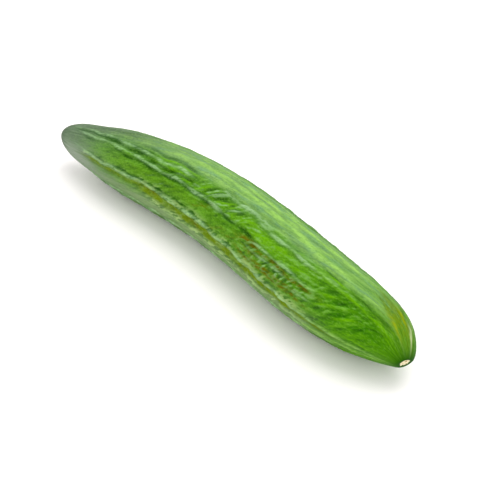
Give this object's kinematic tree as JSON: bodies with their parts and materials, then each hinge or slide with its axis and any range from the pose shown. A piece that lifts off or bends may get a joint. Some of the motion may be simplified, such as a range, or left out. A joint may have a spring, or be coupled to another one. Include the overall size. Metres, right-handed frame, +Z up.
{
  "type": "cucumber",
  "caption": "Whole long cucumber lying on its side, gently bowed, with a ribbed and wrinkled green skin, a narrow neck at the stem end and a pale corky blossom scar.",
  "frame": {"origin": "on the table under the middle of the bounding box", "axes": "+X along the fruit from the stem end to the blossom end, +Z up, +Y to the left of someone who looks along +X"},
  "size_m": [0.3042, 0.0606, 0.048],
  "materials": {
    "cucumber_skin": "soft waxy sheen over a ribbed, wrinkled green skin with paler ridges and olive grooves"
  },
  "bodies": {
    "root": {"cucumber": "cucumber_skin"}
  },
  "joints": []
}
